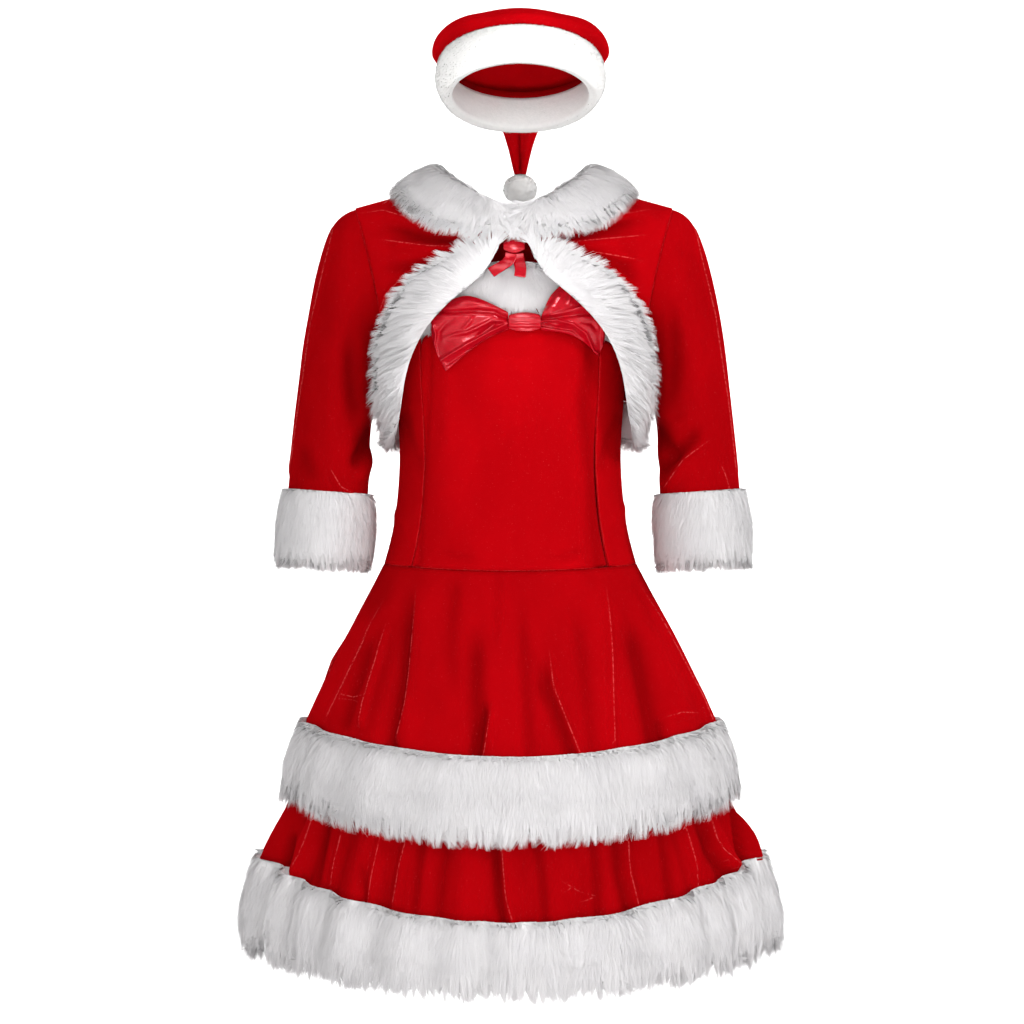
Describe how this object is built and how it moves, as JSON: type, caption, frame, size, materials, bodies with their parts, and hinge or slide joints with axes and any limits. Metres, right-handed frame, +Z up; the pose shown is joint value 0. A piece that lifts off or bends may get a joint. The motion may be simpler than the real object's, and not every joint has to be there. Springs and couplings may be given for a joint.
{
  "type": "christmas costume set",
  "caption": "Festive costume set worn as one: strapless tiered dress with fur bands and a bow, short jacket with fur collar, trims and cuffs, and a matching stocking hat.",
  "frame": {"origin": "middle of the wearer's neck at shoulder height, where the wearer carries the jacket; the dress hangs below it and the hat is above", "axes": "+Z up along the wearer, -Y towards the front, +X towards the wearer's left side"},
  "size_m": [0.5872, 0.4795, 1.0244],
  "materials": {
    "velvet": "deep red velvet with a short nap",
    "fur": "white long-pile faux fur",
    "satin": "glossy red satin"
  },
  "bodies": {
    "root": {"bodice_front": "velvet", "bodice_side_left": "velvet", "bodice_back": "velvet", "bodice_side_right": "velvet", "upper_skirt_front": "velvet", "upper_skirt_back": "velvet", "lower_skirt_front": "velvet", "lower_skirt_back": "velvet", "jacket_front_left": "velvet", "jacket_front_right": "velvet", "jacket_back": "velvet", "sleeve_left": "velvet", "sleeve_right": "velvet", "hat_crown": "velvet", "neckline_fur": "fur", "upper_fur_front": "fur", "upper_fur_back": "fur", "hem_fur_front": "fur", "hem_fur_back": "fur", "front_trim_left": "fur", "front_trim_right": "fur", "hem_trim": "fur", "collar": "fur", "cuff_left": "fur", "cuff_right": "fur", "hat_band": "fur", "pompom": "fur", "bow_loop_right": "satin", "bow_loop_left": "satin", "bow_knot": "satin", "tie_knot": "satin", "tie_tail_right": "satin", "tie_tail_left": "satin"}
  },
  "joints": []
}
